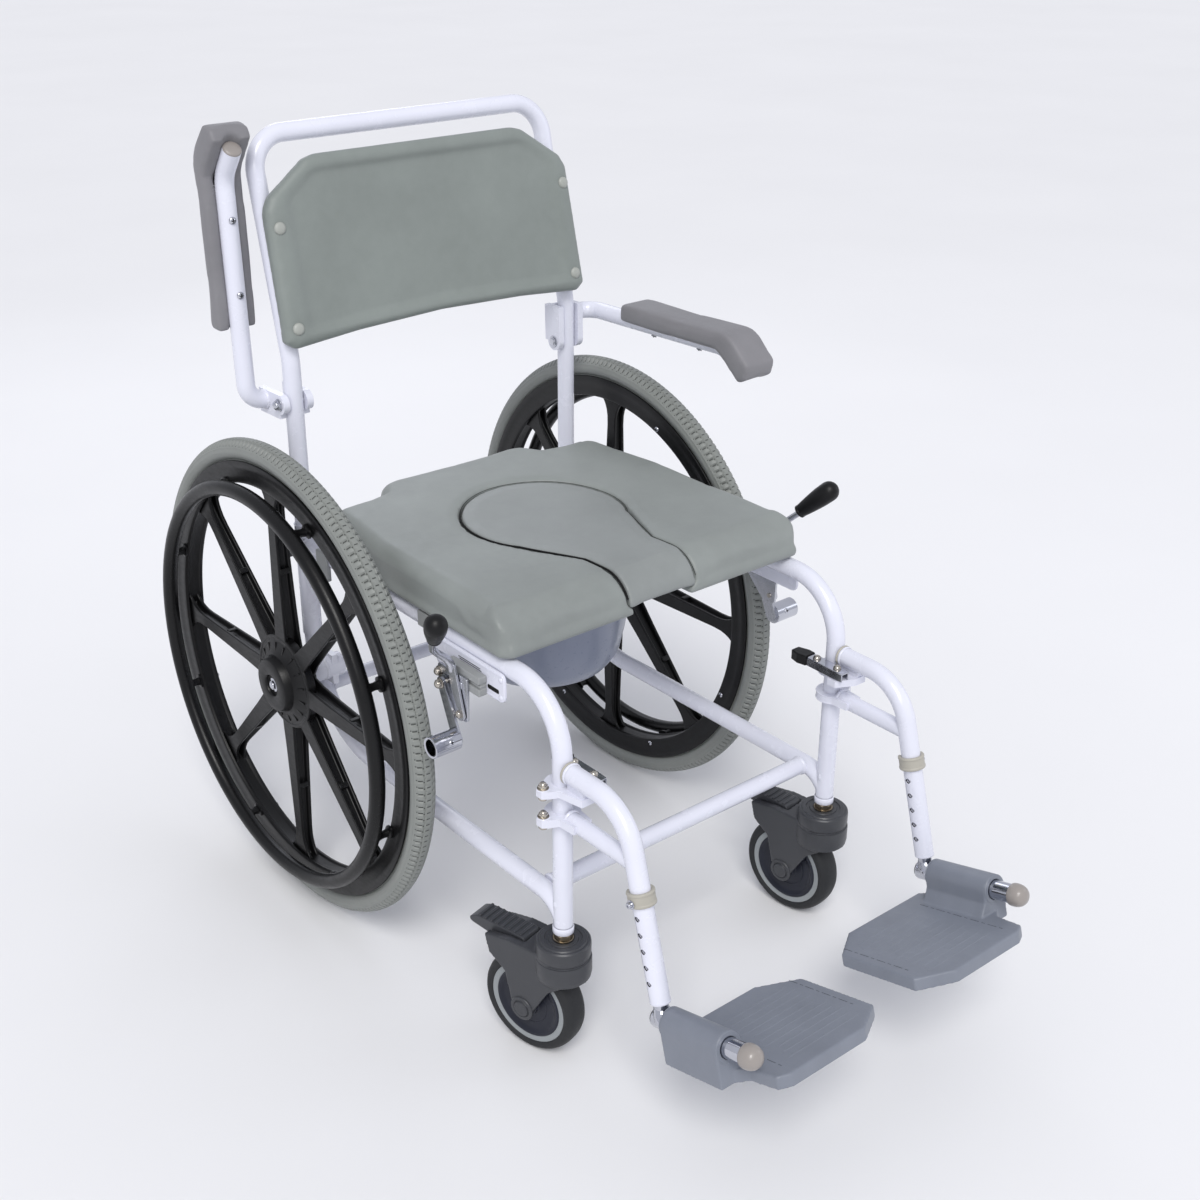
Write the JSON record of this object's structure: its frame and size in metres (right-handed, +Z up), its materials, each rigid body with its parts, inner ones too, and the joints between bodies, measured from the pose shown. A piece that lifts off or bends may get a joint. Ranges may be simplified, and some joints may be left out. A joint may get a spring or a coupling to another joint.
{
  "type": "self-propelled commode chair",
  "caption": "Wheeled commode chair with a padded keyhole seat over a slide-out pan, lift-up arms, swing-away footrests, large spoked wheels with handrims, push brakes and braked front casters.",
  "frame": {"origin": "on the floor, under the middle of the whole chair's footprint", "axes": "+Z up, the sitter faces -Y, +X is the sitter's left"},
  "size_m": [0.613, 1.0957, 0.9642],
  "materials": {
    "frame_paint": "gloss white enamel",
    "steel": "plated",
    "steel_strip": "satin",
    "cushion": "satin coated cloth over foam",
    "arm_foam": "matt moulded foam",
    "pan_plastic": "smooth",
    "runner_plastic": "smooth",
    "wheel_plastic": "fine grained",
    "rim_coating": "smooth",
    "tyre_grey": "moulded",
    "caster_plastic": "satin",
    "tread_dark": "matt",
    "grip_rubber": "matt",
    "bracket_plastic": "satin",
    "plate_plastic": "ribbed",
    "clip_plastic": "smooth"
  },
  "bodies": {
    "frame": {"side_frame_right": "frame_paint", "side_frame_left": "frame_paint", "cross_tubes": "frame_paint", "axles": "steel", "back_bow": "frame_paint", "backrest_panel": "cushion", "panel_caps": "clip_plastic", "seat_pad": "cushion", "seat_clips": "bracket_plastic", "pan_runners": "runner_plastic", "brake_rails": "frame_paint", "brake_clamps": "bracket_plastic", "brake_plates": "frame_paint", "caster_stems": "steel", "arm_pivots": "steel"},
    "lock_knob_right": {"lock_knob_right": "grip_rubber"},
    "lock_knob_left": {"lock_knob_left": "grip_rubber"},
    "seat_insert": {"seat_insert": "cushion"},
    "commode_pan": {"commode_pan": "pan_plastic"},
    "wheel_right": {"wheel_right": "wheel_plastic", "tyre_right": "tyre_grey", "handrim_right": "rim_coating"},
    "caster_right": {"caster_fork_right": "caster_plastic"},
    "caster_pedal_right": {"caster_pedal_right": "caster_plastic"},
    "caster_wheel_right": {"caster_wheel_right": "caster_plastic", "caster_tread_right": "tread_dark"},
    "arm_right": {"arm_tube_right": "frame_paint", "arm_pad_right": "arm_foam", "arm_fixings_right": "steel"},
    "brake_lever_right": {"brake_lever_right": "steel_strip", "brake_knob_right": "grip_rubber"},
    "brake_roller_right": {"brake_roller_right": "steel"},
    "hanger_right": {"hanger_right": "frame_paint", "hanger_bolts_right": "steel", "leg_clip_right": "clip_plastic"},
    "latch_right": {"latch_right": "steel", "latch_grip_right": "grip_rubber"},
    "foot_stem_right": {"foot_stem_right": "steel"},
    "footplate_right": {"footplate_right": "plate_plastic"},
    "wheel_left": {"wheel_left": "wheel_plastic", "tyre_left": "tyre_grey", "handrim_left": "rim_coating"},
    "caster_left": {"caster_fork_left": "caster_plastic"},
    "caster_pedal_left": {"caster_pedal_left": "caster_plastic"},
    "caster_wheel_left": {"caster_wheel_left": "caster_plastic", "caster_tread_left": "tread_dark"},
    "arm_left": {"arm_tube_left": "frame_paint", "arm_pad_left": "arm_foam", "arm_fixings_left": "steel"},
    "brake_lever_left": {"brake_lever_left": "steel_strip", "brake_knob_left": "grip_rubber"},
    "brake_roller_left": {"brake_roller_left": "steel"},
    "hanger_left": {"hanger_left": "frame_paint", "hanger_bolts_left": "steel", "leg_clip_left": "clip_plastic"},
    "latch_left": {"latch_left": "steel", "latch_grip_left": "grip_rubber"},
    "foot_stem_left": {"foot_stem_left": "steel"},
    "footplate_left": {"footplate_left": "plate_plastic"}
  },
  "joints": [
    {"name": "seat_insert_lift", "type": "slide", "parent": "frame", "child": "seat_insert", "axis": [0, 0, 1], "range_m": [0, 0.12]},
    {"name": "commode_pan_slide", "type": "slide", "parent": "frame", "child": "commode_pan", "axis": [0, 1, 0], "range_m": [0, 0.25]},
    {"name": "wheel_right_spin", "type": "hinge", "parent": "frame", "child": "wheel_right", "pos_m": [-0.262, 0.24286, 0.305], "axis": [1, 0, 0], "continuous": true},
    {"name": "lock_knob_right_turn", "type": "hinge", "parent": "frame", "child": "lock_knob_right", "pos_m": [-0.23, 0.28036, 0.47], "axis": [1, 0, 0], "continuous": true},
    {"name": "arm_right_lift", "type": "hinge", "parent": "frame", "child": "arm_right", "pos_m": [-0.2055, 0.28036, 0.643], "axis": [-1, 0, 0], "range_deg": [-90, 0]},
    {"name": "caster_right_swivel", "type": "hinge", "parent": "frame", "child": "caster_right", "pos_m": [-0.2055, -0.22774, 0.14], "axis": [0, 0, 1], "continuous": true},
    {"name": "caster_wheel_right_spin", "type": "hinge", "parent": "caster_right", "child": "caster_wheel_right", "pos_m": [-0.21585, -0.18911, 0.0625], "axis": [0.9659, 0.2588, 0], "continuous": true},
    {"name": "caster_pedal_right_tip", "type": "hinge", "parent": "caster_right", "child": "caster_pedal_right", "pos_m": [-0.21896, -0.17751, 0.142], "axis": [-0.9659, -0.2588, 0], "range_deg": [0, 12]},
    {"name": "brake_lever_right_pull", "type": "hinge", "parent": "frame", "child": "brake_lever_right", "pos_m": [-0.237, -0.09114, 0.395], "axis": [1, 0, 0], "range_deg": [0, 30]},
    {"name": "brake_roller_right_swing", "type": "hinge", "parent": "frame", "child": "brake_roller_right", "pos_m": [-0.24, -0.06214, 0.422], "axis": [1, 0, 0], "range_deg": [0, 17]},
    {"name": "hanger_right_swing", "type": "hinge", "parent": "frame", "child": "hanger_right", "pos_m": [-0.2055, -0.22774, 0.35], "axis": [0, 0, -1], "range_deg": [0, 90]},
    {"name": "latch_right_release", "type": "hinge", "parent": "hanger_right", "child": "latch_right", "pos_m": [-0.1835, -0.25174, 0.365], "axis": [0, 0, -1], "range_deg": [0, 20]},
    {"name": "foot_stem_right_slide", "type": "slide", "parent": "hanger_right", "child": "foot_stem_right", "axis": [0, -0.2756, -0.9613], "range_m": [0, 0.09]},
    {"name": "footplate_right_fold", "type": "hinge", "parent": "foot_stem_right", "child": "footplate_right", "pos_m": [-0.2055, -0.39264, 0.1583], "axis": [0, -0.9613, 0.2756], "range_deg": [0, 90]},
    {"name": "wheel_left_spin", "type": "hinge", "parent": "frame", "child": "wheel_left", "pos_m": [0.262, 0.24286, 0.305], "axis": [1, 0, 0], "continuous": true},
    {"name": "lock_knob_left_turn", "type": "hinge", "parent": "frame", "child": "lock_knob_left", "pos_m": [0.23, 0.28036, 0.47], "axis": [1, 0, 0], "continuous": true},
    {"name": "arm_left_lift", "type": "hinge", "parent": "frame", "child": "arm_left", "pos_m": [0.2055, 0.28036, 0.643], "axis": [-1, 0, 0], "range_deg": [0, 90]},
    {"name": "caster_left_swivel", "type": "hinge", "parent": "frame", "child": "caster_left", "pos_m": [0.2055, -0.22774, 0.14], "axis": [0, 0, 1], "continuous": true},
    {"name": "caster_wheel_left_spin", "type": "hinge", "parent": "caster_left", "child": "caster_wheel_left", "pos_m": [0.19993, -0.18813, 0.0625], "axis": [0.9903, 0.1392, 0], "continuous": true},
    {"name": "caster_pedal_left_tip", "type": "hinge", "parent": "caster_left", "child": "caster_pedal_left", "pos_m": [0.19826, -0.17625, 0.142], "axis": [-0.9903, -0.1392, 0], "range_deg": [0, 12]},
    {"name": "brake_lever_left_pull", "type": "hinge", "parent": "frame", "child": "brake_lever_left", "pos_m": [0.237, -0.09114, 0.395], "axis": [1, 0, 0], "range_deg": [0, 30]},
    {"name": "brake_roller_left_swing", "type": "hinge", "parent": "frame", "child": "brake_roller_left", "pos_m": [0.24, -0.06214, 0.422], "axis": [1, 0, 0], "range_deg": [0, 17]},
    {"name": "hanger_left_swing", "type": "hinge", "parent": "frame", "child": "hanger_left", "pos_m": [0.2055, -0.22774, 0.35], "axis": [0, 0, 1], "range_deg": [0, 90]},
    {"name": "latch_left_release", "type": "hinge", "parent": "hanger_left", "child": "latch_left", "pos_m": [0.1835, -0.25174, 0.365], "axis": [0, 0, 1], "range_deg": [0, 20]},
    {"name": "foot_stem_left_slide", "type": "slide", "parent": "hanger_left", "child": "foot_stem_left", "axis": [0, -0.2756, -0.9613], "range_m": [0, 0.09]},
    {"name": "footplate_left_fold", "type": "hinge", "parent": "foot_stem_left", "child": "footplate_left", "pos_m": [0.2055, -0.39264, 0.1583], "axis": [0, 0.9613, -0.2756], "range_deg": [0, 90]}
  ],
  "couplings": [
    {"joint": "brake_roller_right_swing", "follows": "brake_lever_right_pull", "ratio": 0.566},
    {"joint": "brake_roller_left_swing", "follows": "brake_lever_left_pull", "ratio": 0.566}
  ]
}
